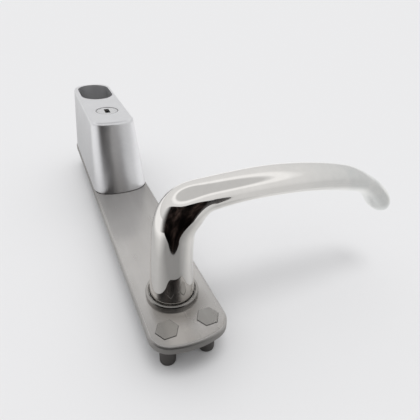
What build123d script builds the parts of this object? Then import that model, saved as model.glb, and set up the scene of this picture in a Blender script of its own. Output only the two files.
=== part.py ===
from build123d import *

import os
from math import asin, cos, degrees, radians, sin, sqrt

# Long-plate lever handle with a key-locked guard housing, in millimetres.
# The origin is on the lever's turning axis, in the plane of the door's face.
# +Z points out of the door, +Y runs along the plate to the guard housing,
# and the lever at rest points along +X.

os.makedirs("parts", exist_ok=True)

# Clearances
press_gap = 0.02  # pressed, screwed and clamped pieces, on the radius
turn_gap = 0.05  # turning fits, on the radius
slide_gap = 0.15  # flat faces that slide or turn on each other
loose_gap = 0.3  # pieces that pass each other without touching

# Back plate
plate_width = 36.0
plate_thickness = 4.0
plate_near = 31.4  # turning axis to the rounded near end
plate_past_well = 26.0  # middle of the well to the far end
plate_end_radius = 38.0  # bow of both ends
plate_corner = 10.0
plate_edge = 1.4  # rounding of the front edge

# Fixing pillars
pillar_spacing = 19.0  # across the plate
pillar_near = 20.4  # turning axis to the near pair
pillar_inset = 15.9  # housing's front to the far pair, under the housing
pillar_diameter = 7.5
pillar_reach = 16.5  # how far the pillars stand out of the plate's back
pillar_tip = 0.8  # rounding of the free end
pillar_thread = 4.2  # core of the tapped hole in the free end
pillar_thread_depth = 12.0
hex_flats = 9.2
hex_depth = 2.8  # let into the plate
hex_proud = 0.3  # above the plate's front
hex_crown = 0.2  # chamfer round the head's face

# Collar and bush round the foot of the neck
collar_diameter = 25.0
collar_height = 2.2  # above the plate
collar_spigot = 23.4  # diameter pressed into the plate
collar_gap = 0.45  # round the neck's foot
collar_round = 0.85  # outer edge of the bead
collar_lip = 0.4  # rounding of its inner edge
bush_diameter = 20.0
bush_flange = 1.0  # thickness of the bush's flange, which carries the neck

# Lever handle: a straight neck, then five tangent arcs
foot_radius = 10.7
neck_middle_radius = 9.6
waist_radius = 9.25
foot_edge = 0.6  # chamfer round the foot
neck_height = 14.9  # plate's front to where the neck starts to lean
lean_radius = 192.0
lean_angle = 6.1
bend_radius = 17.2
bend_angle = 78.3
bend_half_size = 9.7  # radius halfway round the bend
grip_radius = 209.0
grip_length = 75.1
grip_start_size = (8.85, 6.45)  # half width along the plate, half thickness
grip_middle_size = (9.5, 5.95)
grip_end_size = (8.1, 6.1)
curl_radius = 63.0
curl_angle = 15.6
curl_end_size = (6.75, 5.05)
hook_radius = 45.0
hook_angle = 19.9
hook_end_size = (7.9, 5.85)
nose_length = 10.7  # rounded end past the hook
oval_least = 0.01  # keeps the long axis of round sections along the plate
lever_section_spacing = 3.5  # between the lofted sections
nose_shares = (0, 0.35, 0.65, 0.9)  # places of the sections along the rounded end

# Drive insert, pressed into the neck
insert_diameter = 14.0
insert_depth = 24.0  # length held in the neck
journal_diameter = 16.0
tail_diameter = 14.0
tail_flats = 12.0
tail_reach = 12.0  # behind the plate
socket_size = 8.0  # across the square for the door's spindle
socket_depth = 32.0

# Return spring and what holds it
stop_washer_radius = 11.4
stop_washer_thickness = 1.6
stop_arm_radius = 14.7
stop_arm_width = 4.0
spring_ear = 1.95  # radius of the washer's ear that takes the spring's leg
stop_angle = 45.0  # travel of the lever
spring_wire = 1.3
spring_radius = 11.6
spring_pitch = 1.45
spring_turns = 2.5
cup_diameter = 33.0
cup_sheet = 1.2
cup_depth = 8.8
cup_flange = 35.0
cup_ear = 4.0  # radius of the two screw ears
cup_screw_place = 22.0
cup_lug_width = 3.0
cup_screw_diameter = 3.0
cup_screw_depth = 2.9  # blind, so the plate's front stays whole
cup_screw_head = 5.4
cup_screw_head_height = 1.8
slip_washer_diameter = 22.0
slip_washer_thickness = 0.7
ring_diameter = 19.0
ring_thickness = 1.0
ring_groove = 0.7  # depth of the groove in the tail
ring_mouth = 7.0  # gap between the ring's ends

# Guard housing
housing_inset = 0.4  # from the plate's sides and far end
housing_front = 96.6  # turning axis to the front, at the plate
housing_height = 46.0
side_lean = 4.2  # how far each wall leans in over the height
front_lean = 7.5
far_lean = 4.0
housing_front_corner = 10.5
housing_far_corner = 13.0
corner_lean = 3.0
housing_wall = 2.5
housing_top_wall = 3.0
housing_top_edge = 2.4
foot_gap = 0.5  # height of the shadow gap at the plate
foot_inset = 0.6  # depth of the shadow gap
well_width = 22.0
well_length = 37.0
well_spacing = 44.0  # key plug's axis to the middle of the well
well_wall = 2.2
housing_screw_diameter = 3.0
housing_screw_head = 6.0
housing_screw_length = 14.0
housing_screw_boss = 7.0
front_screw_spacing = 21.0
front_screw_inset = 6.8  # from the housing's front
far_screw_spacing = 25.0
far_screw_inset = 10.6  # from the plate's far end

# Key cylinder
cylinder_inset = 30.4  # housing's front to the key plug's axis
cylinder_head = 14.6
cylinder_head_height = 3.0
cylinder_sunk = 0.2  # below the housing's top
cylinder_shank = 13.0
cylinder_flats = 11.6
cylinder_boss = 20.0
cylinder_boss_height = 9.0
nut_flats = 18.0
nut_height = 4.0
plug_diameter = 9.5
plug_head = 11.0
plug_head_height = 1.5
keyway_width = 3.2
keyway_length = 7.4
plug_end = 7.0  # solid length past the keyway
tumbler_count = 6
tumbler_width = 4.4
tumbler_length = 8.2
tumbler_thickness = 1.2
tumbler_first = 6.0  # plug's face to the first tumbler
tumbler_last = 4.0  # last tumbler to the keyway's end
tumbler_window = 6.35  # height of the hole that the key's blade passes
tumbler_step = 0.35  # difference between key cuts
key_cut_depths = 3  # how many different cuts there are

# Hex sockets of the pan-head screws
drive_depth = 1.0

# Crank and locking slide
tail_square = 5.0
disc_diameter = 14.0
disc_thickness = 2.4
crank_radius = 5.2
crank_pin = 3.6
key_angle = 90.0  # turn of the key
crank_screw_diameter = 3.0
crank_screw_length = 7.0
crank_screw_head = 5.6
crank_screw_head_height = 1.4
crank_clearance = 2.7  # slide to the crank screw's head
slide_thickness = 5.0
slide_blade = 12.0
slide_yoke = 19.0
slide_yoke_length = 17.0
slide_nose_edge = 1.0  # chamfer of the blade's two corners
guide_sheet = 1.5
guide_foot = 6.5
guide_screw_diameter = 3.0
guide_screw_head = 5.4
guide_screw_head_height = 1.8

# Heights and places that follow from the sizes above
cylinder_place = housing_front + cylinder_inset
well_place = cylinder_place + well_spacing
plate_far = well_place + plate_past_well
pillar_far = housing_front + pillar_inset
front_screw_place = housing_front + front_screw_inset
far_screw_place = plate_far - far_screw_inset
plate_top = plate_thickness
collar_top = plate_top + collar_height
foot_level = plate_top + bush_flange + slide_gap
lean_level = plate_top + neck_height
housing_top = plate_top + housing_height
housing_far = plate_far - housing_inset
housing_half_width = plate_width / 2 - housing_inset
well_near = well_place - well_length / 2
slide_bottom = plate_top + slide_gap
slide_top = slide_bottom + slide_thickness
slide_nose = well_near - loose_gap
slide_travel = 2 * crank_radius * sin(radians(key_angle / 2))
disc_bottom = slide_top + crank_clearance + crank_screw_head_height
disc_top = disc_bottom + disc_thickness
cylinder_face = housing_top - cylinder_sunk
cylinder_foot = disc_top + slide_gap
cylinder_length = cylinder_face - cylinder_foot
keyway_depth = cylinder_length - plug_end
tumbler_pitch = (keyway_depth - tumbler_first - tumbler_last) / (tumbler_count - 1)
yoke_place = cylinder_place - slide_travel / 2
yoke_slot = crank_pin + 2 * loose_gap
pin_nearest = crank_radius * cos(radians(key_angle / 2))
yoke_far = yoke_place + slide_yoke_length / 2
tail_middle = yoke_far - slide_yoke_length + slide_yoke / 2
guide_near = yoke_far + slide_travel + loose_gap
guide_far = well_near - well_wall - loose_gap
guide_length = guide_far - guide_near
guide_middle = (guide_near + guide_far) / 2
guide_half_width = slide_blade / 2 + slide_gap
guide_screw_spacing = 2 * (guide_half_width + guide_sheet) + guide_foot
stop_washer_top = -loose_gap
stop_washer_bottom = stop_washer_top - stop_washer_thickness
cup_bottom = -cup_depth
ring_top = cup_bottom - slide_gap - slip_washer_thickness - slide_gap
ring_slot = ring_thickness + slide_gap
pillar_places = [
    (side * pillar_spacing / 2, place)
    for place in (-pillar_near, pillar_far)
    for side in (-1, 1)
]
housing_screw_places = [
    (side * spacing / 2, place)
    for spacing, place in ((front_screw_spacing, front_screw_place), (far_screw_spacing, far_screw_place))
    for side in (-1, 1)
]
cup_screw_places = [(0, -cup_screw_place), (0, cup_screw_place)]
guide_screw_places = [(-guide_screw_spacing / 2, guide_middle), (guide_screw_spacing / 2, guide_middle)]


def bar_outline(half_width, low, high, end_radius, low_corner, high_corner):
    """Long bar along Y with two bowed ends and rounded corners."""
    drop = end_radius - sqrt(end_radius**2 - half_width**2)
    with BuildSketch() as outline:
        with BuildLine():
            Line((half_width, low + drop), (half_width, high - drop))
            ThreePointArc((half_width, high - drop), (0, high), (-half_width, high - drop))
            Line((-half_width, high - drop), (-half_width, low + drop))
            ThreePointArc((-half_width, low + drop), (0, low), (half_width, low + drop))
        make_face()
        fillet(outline.vertices().group_by(Axis.Y)[0], low_corner)
        fillet(outline.vertices().group_by(Axis.Y)[-1], high_corner)
    return outline.sketch


def housing_outline(level, inset):
    """Section of the leaning housing at a share of its height, drawn inset from its outer walls."""
    return bar_outline(
        housing_half_width - side_lean * level - inset,
        housing_front + front_lean * level + inset,
        housing_far - far_lean * level - inset,
        plate_end_radius - inset,
        housing_front_corner - corner_lean * level - inset,
        housing_far_corner - corner_lean * level - inset,
    )


def smooth_through(stations, distance):
    """Value at a distance along a smooth curve through (distance, value) stations."""
    last = len(stations) - 1
    index = max(i for i in range(last) if distance >= stations[i][0])

    def slope(i):
        before, after = stations[max(i - 1, 0)], stations[min(i + 1, last)]
        return (after[1] - before[1]) / (after[0] - before[0])

    (start, first), (end, second) = stations[index], stations[index + 1]
    span = end - start
    t = (distance - start) / span
    rise = (3 - 2 * t) * t * t
    enter = t * (1 - t) ** 2 * span * slope(index)
    leave = t * t * (1 - t) * span * slope(index + 1)
    return first + (second - first) * rise + enter - leave


# Back plate: stamped and brushed stainless strip, with hex recesses for the pillars
with BuildPart() as back_plate:
    with BuildSketch():
        add(bar_outline(plate_width / 2, -plate_near, plate_far, plate_end_radius, plate_corner, plate_corner))
    extrude(amount=plate_thickness)
    fillet(back_plate.faces().sort_by(Axis.Z)[-1].edges(), plate_edge)
    with Locations((0, 0, 0)):
        Hole(collar_spigot / 2 + press_gap)
    with BuildSketch(Plane.XY.offset(plate_top)):
        with Locations(pillar_places):
            RegularPolygon(hex_flats / 2 + press_gap, 6, major_radius=False)
    extrude(amount=-hex_depth, mode=Mode.SUBTRACT)
    with Locations(pillar_places):
        Hole(pillar_diameter / 2 + press_gap)
    with BuildSketch():
        with Locations((0, well_place)):
            SlotOverall(well_length, well_width, rotation=90)
    extrude(amount=plate_thickness, mode=Mode.SUBTRACT)
    with BuildSketch():
        with Locations(cup_screw_places):
            Circle(cup_screw_diameter / 2 + press_gap)
    extrude(amount=cup_screw_depth + press_gap, mode=Mode.SUBTRACT)
    with Locations(guide_screw_places):
        Hole(guide_screw_diameter / 2 + press_gap)
    with Locations([Location((x, y, 0), (180, 0, 0)) for x, y in housing_screw_places]):
        CounterSinkHole(
            housing_screw_diameter / 2 + press_gap,
            housing_screw_head / 2 + press_gap,
            depth=plate_thickness,
            counter_sink_angle=90,
        )
back_plate.part.label = "back_plate"
export_step(back_plate.part, "parts/back_plate.step")

# Fixing pillars: turned steel, hex head let into the plate, tapped from the free end
with BuildPart() as fixing_pillars:
    with BuildSketch(Plane.XY.offset(plate_top - hex_depth)):
        with Locations(pillar_places):
            RegularPolygon(hex_flats / 2, 6, major_radius=False)
    extrude(amount=hex_depth + hex_proud)
    with BuildSketch(Plane.XY.offset(plate_top - hex_depth)):
        with Locations(pillar_places):
            Circle(pillar_diameter / 2)
    extrude(amount=-(plate_top - hex_depth + pillar_reach))
    fillet(fixing_pillars.edges().group_by(Axis.Z)[0], pillar_tip)
    chamfer(fixing_pillars.faces().group_by(Axis.Z)[-1].edges(), hex_crown)
    with BuildSketch(Plane.XY.offset(-pillar_reach)):
        with Locations(pillar_places):
            Circle(pillar_thread / 2)
    extrude(amount=pillar_thread_depth, mode=Mode.SUBTRACT)
fixing_pillars.part.label = "fixing_pillars"
export_step(fixing_pillars.part, "parts/fixing_pillars.step")

# Neck collar: turned ring pressed into the plate, with a round bead and a pocket for the neck's foot
with BuildPart() as neck_collar:
    with BuildSketch(Plane.XZ):
        with BuildLine():
            Polyline(
                (bush_diameter / 2 + press_gap, 0),
                (collar_spigot / 2, 0),
                (collar_spigot / 2, plate_top),
                (collar_diameter / 2, plate_top),
                (collar_diameter / 2, collar_top),
                (foot_radius + collar_gap, collar_top),
                (foot_radius + collar_gap, plate_top),
                (bush_diameter / 2 + press_gap, plate_top),
                close=True,
            )
        make_face()
    revolve(axis=Axis.Z)
    fillet(neck_collar.edges().group_by(Axis.Z)[-1].sort_by(SortBy.LENGTH)[-1], collar_round)
    fillet(neck_collar.edges().group_by(Axis.Z)[-1].sort_by(SortBy.LENGTH)[0], collar_lip)
neck_collar.part.label = "neck_collar"
export_step(neck_collar.part, "parts/neck_collar.step")

# Neck bush: moulded bearing with a flange that the neck's foot turns on
with BuildPart() as neck_bush:
    with BuildSketch():
        Circle(bush_diameter / 2)
    extrude(amount=plate_top)
    with BuildSketch(Plane.XY.offset(plate_top)):
        Circle(foot_radius)
    extrude(amount=bush_flange)
    with Locations((0, 0, 0)):
        Hole(journal_diameter / 2 + turn_gap)
neck_bush.part.label = "neck_bush"
export_step(neck_bush.part, "parts/neck_bush.step")

# Lever handle: one polished casting, lofted along its neck, bend, grip, curl and hook
with BuildLine(Plane.XZ) as lever_path:
    neck_run = Line((0, foot_level), (0, lean_level))
    lean_run = JernArc(neck_run @ 1, neck_run % 1, lean_radius, -lean_angle)
    bend_run = JernArc(lean_run @ 1, lean_run % 1, bend_radius, -bend_angle)
    grip_run = JernArc(bend_run @ 1, bend_run % 1, grip_radius, -degrees(grip_length / grip_radius))
    curl_run = JernArc(grip_run @ 1, grip_run % 1, curl_radius, -curl_angle)
    hook_run = JernArc(curl_run @ 1, curl_run % 1, hook_radius, -hook_angle)
    nose_run = Line(hook_run @ 1, (hook_run @ 1) + (hook_run % 1) * nose_length)
lean_start = neck_run.length
bend_start = lean_start + lean_run.length
grip_start = bend_start + bend_run.length
curl_start = grip_start + grip_run.length
hook_start = curl_start + curl_run.length
nose_start = hook_start + hook_run.length
lever_stations = [
    (0, (foot_radius, foot_radius)),
    (bend_start / 2, (neck_middle_radius, neck_middle_radius)),
    (bend_start, (waist_radius, waist_radius)),
    ((bend_start + grip_start) / 2, (bend_half_size, bend_half_size)),
    (grip_start, grip_start_size),
    ((grip_start + curl_start) / 2, grip_middle_size),
    (curl_start, grip_end_size),
    (hook_start, curl_end_size),
    (nose_start, hook_end_size),
]
half_widths = [(place, size[0]) for place, size in lever_stations]
half_thicknesses = [(place, size[1]) for place, size in lever_stations]


def lever_section(run, share):
    """Oval section of the lever at a share of one run of its path."""
    starts = {neck_run: 0, lean_run: lean_start, bend_run: bend_start, grip_run: grip_start}
    starts.update({curl_run: curl_start, hook_run: hook_start, nose_run: nose_start})
    place = min(starts[run] + run.length * share, nose_start)
    taper = sqrt(1 - share**2) if run is nose_run else 1
    with BuildSketch(Plane(run @ share, x_dir=(0, 1, 0), z_dir=run % share)) as section:
        half_thickness = smooth_through(half_thicknesses, place)
        half_width = max(smooth_through(half_widths, place), half_thickness + oval_least)
        Ellipse(half_width * taper, half_thickness * taper)
    return section.sketch.face()


lever_sections = []
for run in (neck_run, lean_run, bend_run, grip_run, curl_run, hook_run):
    count = round(run.length / lever_section_spacing)
    lever_sections += [lever_section(run, step / count) for step in range(count)]
lever_sections += [lever_section(nose_run, share) for share in nose_shares]

with BuildPart() as lever_handle:
    loft(sections=lever_sections + [Vertex(*(nose_run @ 1))])
    with BuildSketch(Plane.XZ):
        with BuildLine():
            Polyline(
                (foot_radius - 2 * foot_edge, foot_level - foot_edge),
                (foot_radius + foot_edge, foot_level - foot_edge),
                (foot_radius + foot_edge, foot_level + 2 * foot_edge),
                close=True,
            )
        make_face()
    revolve(axis=Axis.Z, mode=Mode.SUBTRACT)
    with BuildSketch(Plane.XY.offset(foot_level)):
        Circle(insert_diameter / 2 + press_gap)
    extrude(amount=insert_depth + press_gap, mode=Mode.SUBTRACT)
lever_handle.part.label = "lever_handle"
export_step(lever_handle.part, "parts/lever_handle.step")

# Drive insert: turned steel, pressed into the neck, with a broached square for the spindle
with BuildPart() as drive_insert:
    with BuildSketch(Plane.XY.offset(-tail_reach)):
        Circle(tail_diameter / 2)
        Rectangle(tail_diameter, tail_flats, mode=Mode.INTERSECT)
    extrude(amount=tail_reach)
    with BuildSketch(Plane.XY.offset(stop_washer_top + slide_gap)):
        Circle(journal_diameter / 2)
    extrude(amount=foot_level - stop_washer_top - slide_gap)
    with BuildSketch(Plane.XY.offset(foot_level)):
        Circle(insert_diameter / 2)
    extrude(amount=insert_depth)
    with BuildSketch(Plane.XY.offset(ring_top + slide_gap / 2)):
        Circle(tail_diameter / 2)
        Circle(tail_diameter / 2 - ring_groove, mode=Mode.SUBTRACT)
    extrude(amount=-ring_slot, mode=Mode.SUBTRACT)
    with BuildSketch(Plane.XY.offset(-tail_reach)):
        Rectangle(socket_size, socket_size)
    extrude(amount=socket_depth, mode=Mode.SUBTRACT)
drive_insert.part.label = "drive_insert"
export_step(drive_insert.part, "parts/drive_insert.step")

# Stop washer: stamped, keyed on the insert's flats, with an arm that meets the cup's lugs
with BuildPart() as stop_washer:
    with BuildSketch(Plane.XY.offset(stop_washer_bottom)):
        Circle(stop_washer_radius)
        with Locations((0, stop_arm_radius / 2)):
            Rectangle(stop_arm_width, stop_arm_radius)
        with Locations((-spring_radius, 0)):
            Circle(spring_ear)
        with Locations((-spring_radius, 0)):
            Circle(spring_wire / 2 + loose_gap, mode=Mode.SUBTRACT)
        with BuildSketch(mode=Mode.PRIVATE) as keyed_hole:
            Circle(tail_diameter / 2 + press_gap)
            Rectangle(2 * tail_diameter, tail_flats + 2 * press_gap, mode=Mode.INTERSECT)
        add(keyed_hole.sketch, mode=Mode.SUBTRACT)
    extrude(amount=stop_washer_thickness)
stop_washer.part.label = "stop_washer"
export_step(stop_washer.part, "parts/stop_washer.step")

# Return spring: torsion coil, one leg up into the washer, the other out through the cup's wall
coil_height = spring_pitch * spring_turns
coil_foot = stop_washer_bottom - loose_gap - spring_wire / 2 - coil_height
leg_reach = cup_diameter / 2 + spring_wire
with BuildPart() as return_spring:
    with BuildLine() as coil:
        Helix(spring_pitch, coil_height, spring_radius, center=(0, 0, coil_foot))
    with BuildSketch(Plane(coil.line @ 0, z_dir=coil.line % 0)):
        Circle(spring_wire / 2)
    sweep(path=coil.line)
    with BuildSketch(Plane(coil.line @ 0, z_dir=(1, 0, 0))):
        Circle(spring_wire / 2)
    extrude(amount=leg_reach - spring_radius)
    with BuildSketch(Plane(coil.line @ 1, z_dir=(0, 0, 1))):
        Circle(spring_wire / 2)
    extrude(amount=stop_washer_top - coil_foot - coil_height)
return_spring.part.label = "return_spring"
export_step(return_spring.part, "parts/return_spring.step")

# Spring cup: pressed steel cup screwed to the plate's back, with two stop lugs
cup_inner = cup_diameter / 2 - cup_sheet
lug_inner = stop_washer_radius + loose_gap
lug_corner = sqrt(lug_inner**2 + (cup_lug_width / 2) ** 2)
lug_turn = degrees(asin((stop_arm_width / 2 + loose_gap) / lug_corner) + asin(cup_lug_width / 2 / lug_corner))
lug_length = cup_diameter / 2 - lug_inner - cup_sheet / 2
with BuildPart() as spring_cup:
    with BuildSketch():
        Circle(cup_flange / 2)
        with Locations(cup_screw_places):
            Circle(cup_ear)
        Rectangle(2 * cup_ear, 2 * cup_screw_place)
    extrude(amount=-cup_sheet)
    with BuildSketch():
        Circle(cup_diameter / 2)
    extrude(amount=-cup_depth)
    with BuildSketch():
        Circle(cup_inner)
    extrude(amount=-(cup_depth - cup_sheet), mode=Mode.SUBTRACT)
    for turn in (90 + lug_turn, 90 - stop_angle - lug_turn):
        with BuildSketch():
            with PolarLocations(lug_inner + lug_length / 2, 1, start_angle=turn):
                Rectangle(lug_length, cup_lug_width)
        extrude(amount=stop_washer_bottom - loose_gap)
    with BuildSketch(Plane.XY.offset(cup_bottom)):
        Circle(tail_diameter / 2 + loose_gap)
    extrude(amount=cup_sheet, mode=Mode.SUBTRACT)
    with BuildSketch(Plane.XY):
        with Locations(cup_screw_places):
            Circle(cup_screw_diameter / 2 + press_gap)
    extrude(amount=-cup_sheet, mode=Mode.SUBTRACT)
    with BuildSketch(Plane.YZ.offset(spring_radius)):
        with Locations((0, coil_foot)):
            Rectangle(spring_wire + 2 * loose_gap, spring_wire + 2 * loose_gap)
    extrude(amount=leg_reach - spring_radius, mode=Mode.SUBTRACT)
spring_cup.part.label = "spring_cup"
export_step(spring_cup.part, "parts/spring_cup.step")


def headed_screws(places, level, turn, diameter, length, head, head_height, drive):
    """Pan-head screws that enter at a level along +Z, or along -Z when turned over."""
    with BuildPart() as screws:
        for x, y in places:
            seat = Plane((x, y, level), z_dir=(0, 0, turn))
            with BuildSketch(seat):
                Circle(diameter / 2)
            extrude(amount=length)
            with BuildSketch(seat):
                Circle(head / 2)
            extrude(amount=-head_height)
            with BuildSketch(seat.offset(-head_height)):
                RegularPolygon(drive / 2, 6)
            extrude(amount=drive_depth, mode=Mode.SUBTRACT)
    return screws.part


# Cup screws: small pan heads into blind tapped holes
cup_screws = headed_screws(
    cup_screw_places,
    -cup_sheet,
    1,
    cup_screw_diameter,
    cup_screw_depth + cup_sheet,
    cup_screw_head,
    cup_screw_head_height,
    cup_screw_diameter,
)
cup_screws.label = "cup_screws"
export_step(cup_screws, "parts/cup_screws.step")

# Slip washer: thin plastic ring between the cup and the retaining ring
with BuildPart() as slip_washer:
    with BuildSketch(Plane.XY.offset(cup_bottom - slide_gap)):
        Circle(slip_washer_diameter / 2)
        Circle(tail_diameter / 2 + loose_gap, mode=Mode.SUBTRACT)
    extrude(amount=-slip_washer_thickness)
slip_washer.part.label = "slip_washer"
export_step(slip_washer.part, "parts/slip_washer.step")

# Retaining ring: open spring-steel ring snapped into the insert's groove
with BuildPart() as retaining_ring:
    with BuildSketch(Plane.XY.offset(ring_top)):
        Circle(ring_diameter / 2)
        Circle(tail_diameter / 2 - ring_groove + press_gap, mode=Mode.SUBTRACT)
        with Locations((0, -ring_diameter / 2)):
            Rectangle(ring_mouth, ring_diameter, mode=Mode.SUBTRACT)
    extrude(amount=-ring_thickness)
retaining_ring.part.label = "retaining_ring"
export_step(retaining_ring.part, "parts/retaining_ring.step")

# Hollow of the housing round the key cylinder, with the bosses left standing in it
cavity_top = housing_top - housing_top_wall
cavity_share = (cavity_top - plate_top) / housing_height
with BuildPart() as housing_cavity:
    with BuildSketch(Plane.XY.offset(plate_top)):
        add(housing_outline(0, housing_wall))
    with BuildSketch(Plane.XY.offset(cavity_top)):
        add(housing_outline(cavity_share, housing_wall))
    loft()
    split(bisect_by=Plane.XZ.offset(-(well_near - well_wall)), keep=Keep.TOP)
    with BuildSketch(Plane.XY.offset(cavity_top)):
        with Locations((0, cylinder_place)):
            Circle(cylinder_boss / 2)
    extrude(amount=-cylinder_boss_height, mode=Mode.SUBTRACT)
    with BuildSketch(Plane.XY.offset(plate_top)):
        with Locations(housing_screw_places):
            Circle(housing_screw_boss / 2)
    extrude(amount=housing_screw_length, mode=Mode.SUBTRACT)

# Guard housing: satin casting with leaning walls and an oval well right through it
with BuildPart() as guard_housing:
    with BuildSketch(Plane.XY.offset(plate_top + foot_gap)):
        add(housing_outline(foot_gap / housing_height, 0))
    with BuildSketch(Plane.XY.offset(housing_top)):
        add(housing_outline(1, 0))
    loft()
    fillet(guard_housing.faces().sort_by(Axis.Z)[-1].edges(), housing_top_edge)
    with BuildSketch(Plane.XY.offset(plate_top)):
        add(housing_outline(0, foot_inset))
    extrude(amount=foot_gap)
    add(housing_cavity.part, mode=Mode.SUBTRACT)
    with BuildSketch(Plane.XY.offset(plate_top)):
        with Locations((0, well_place)):
            SlotOverall(well_length, well_width, rotation=90)
    extrude(amount=housing_height, mode=Mode.SUBTRACT)
    with BuildSketch(Plane.XY.offset(housing_top)):
        with Locations((0, cylinder_place)):
            Circle(cylinder_head / 2 + press_gap)
    extrude(amount=-(cylinder_head_height + cylinder_sunk), mode=Mode.SUBTRACT)
    with BuildSketch(Plane.XY.offset(housing_top)):
        with Locations((0, cylinder_place)):
            Circle(cylinder_shank / 2 + press_gap)
            Rectangle(cylinder_flats + 2 * press_gap, 2 * cylinder_shank, mode=Mode.INTERSECT)
    extrude(amount=-(housing_top_wall + cylinder_boss_height), mode=Mode.SUBTRACT)
    with BuildSketch(Plane.XY.offset(plate_top)):
        with Locations(housing_screw_places):
            Circle(housing_screw_diameter / 2 + press_gap)
    extrude(amount=housing_screw_length - plate_thickness, mode=Mode.SUBTRACT)
    with BuildSketch(Plane.XY.offset(plate_top)):
        with Locations((0, well_near)):
            Rectangle(slide_blade + 2 * slide_gap, well_length)
    extrude(amount=slide_thickness + 2 * slide_gap, mode=Mode.SUBTRACT)
guard_housing.part.label = "guard_housing"
export_step(guard_housing.part, "parts/guard_housing.step")

# Housing screws: countersunk, up through the plate into the housing
head_cone = (housing_screw_head - housing_screw_diameter) / 2
with BuildPart() as housing_screws:
    for x, y in housing_screw_places:
        with BuildSketch(Plane((x, y, 0), x_dir=(1, 0, 0), z_dir=(0, -1, 0))):
            with BuildLine():
                Polyline(
                    (0, 0),
                    (housing_screw_head / 2, 0),
                    (housing_screw_diameter / 2, head_cone),
                    (housing_screw_diameter / 2, housing_screw_length - press_gap),
                    (0, housing_screw_length - press_gap),
                    close=True,
                )
            make_face()
        revolve(axis=Axis((x, y, 0), (0, 0, 1)))
    with BuildSketch():
        with Locations(housing_screw_places):
            RegularPolygon(housing_screw_diameter / 2, 6)
    extrude(amount=head_cone, mode=Mode.SUBTRACT)
housing_screws.part.label = "housing_screws"
export_step(housing_screws.part, "parts/housing_screws.step")

# Lock cylinder: turned body with a flush head and two flats, bored for the plug
with BuildPart() as lock_cylinder:
    with BuildSketch(Plane.XY.offset(cylinder_face)):
        with Locations((0, cylinder_place)):
            Circle(cylinder_head / 2)
    extrude(amount=-cylinder_head_height)
    with BuildSketch(Plane.XY.offset(cylinder_foot)):
        with Locations((0, cylinder_place)):
            Circle(cylinder_shank / 2)
            Rectangle(cylinder_flats, 2 * cylinder_shank, mode=Mode.INTERSECT)
    extrude(amount=cylinder_length - cylinder_head_height)
    with BuildSketch(Plane.XY.offset(cylinder_foot)):
        with Locations((0, cylinder_place)):
            Circle(plug_diameter / 2 + turn_gap)
    extrude(amount=cylinder_length, mode=Mode.SUBTRACT)
    with BuildSketch(Plane.XY.offset(cylinder_face)):
        with Locations((0, cylinder_place)):
            Circle(plug_head / 2 + turn_gap)
    extrude(amount=-(plug_head_height + slide_gap), mode=Mode.SUBTRACT)
lock_cylinder.part.label = "lock_cylinder"
export_step(lock_cylinder.part, "parts/lock_cylinder.step")

# Cylinder nut: hex ring nut that clamps the cylinder against the housing's boss
with BuildPart() as cylinder_nut:
    with BuildSketch(Plane.XY.offset(cavity_top - cylinder_boss_height)):
        with Locations((0, cylinder_place)):
            RegularPolygon(nut_flats / 2, 6, major_radius=False)
            Circle(cylinder_shank / 2 + press_gap, mode=Mode.SUBTRACT)
    extrude(amount=-nut_height)
    chamfer(cylinder_nut.faces().sort_by(Axis.Z)[0].outer_wire().edges(), hex_crown)
cylinder_nut.part.label = "cylinder_nut"
export_step(cylinder_nut.part, "parts/cylinder_nut.step")

# Key plug: brass plug with its keyway, tumbler slots and a square tail
tumbler_levels = [cylinder_face - tumbler_first - tumbler_pitch * step for step in range(tumbler_count)]
with BuildPart() as key_plug:
    with BuildSketch(Plane.XY.offset(cylinder_face)):
        with Locations((0, cylinder_place)):
            Circle(plug_head / 2)
    extrude(amount=-plug_head_height)
    with BuildSketch(Plane.XY.offset(cylinder_face)):
        with Locations((0, cylinder_place)):
            Circle(plug_diameter / 2)
    extrude(amount=-cylinder_length)
    with BuildSketch(Plane.XY.offset(cylinder_foot)):
        with Locations((0, cylinder_place)):
            Rectangle(tail_square, tail_square)
    extrude(amount=disc_bottom - cylinder_foot)
    with BuildSketch(Plane.XY.offset(cylinder_face)):
        with Locations((0, cylinder_place)):
            Rectangle(keyway_width, keyway_length)
    extrude(amount=-keyway_depth, mode=Mode.SUBTRACT)
    for level in tumbler_levels:
        with BuildSketch(Plane.XY.offset(level + slide_gap)):
            with Locations((0, cylinder_place)):
                Rectangle(tumbler_width + 2 * slide_gap, plug_diameter)
        extrude(amount=-(tumbler_thickness + 2 * slide_gap), mode=Mode.SUBTRACT)
    with BuildSketch(Plane.XY.offset(disc_bottom)):
        with Locations((0, cylinder_place)):
            Circle(crank_screw_diameter / 2 + press_gap)
    extrude(amount=crank_screw_length + press_gap, mode=Mode.SUBTRACT)
key_plug.part.label = "key_plug"
export_step(key_plug.part, "parts/key_plug.step")

# Tumblers: flat wafers with key cuts at different heights, lying at the plug's shear line
with BuildPart() as tumblers:
    for step, level in enumerate(tumbler_levels):
        key_cut = tumbler_step * (step % key_cut_depths - 1)
        with BuildSketch(Plane.XY.offset(level)):
            with Locations((0, cylinder_place)):
                Rectangle(tumbler_width, tumbler_length)
            with Locations((0, cylinder_place + key_cut)):
                Rectangle(keyway_width, tumbler_window, mode=Mode.SUBTRACT)
        extrude(amount=-tumbler_thickness)
tumblers.part.label = "tumblers"
export_step(tumblers.part, "parts/tumblers.step")

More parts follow.
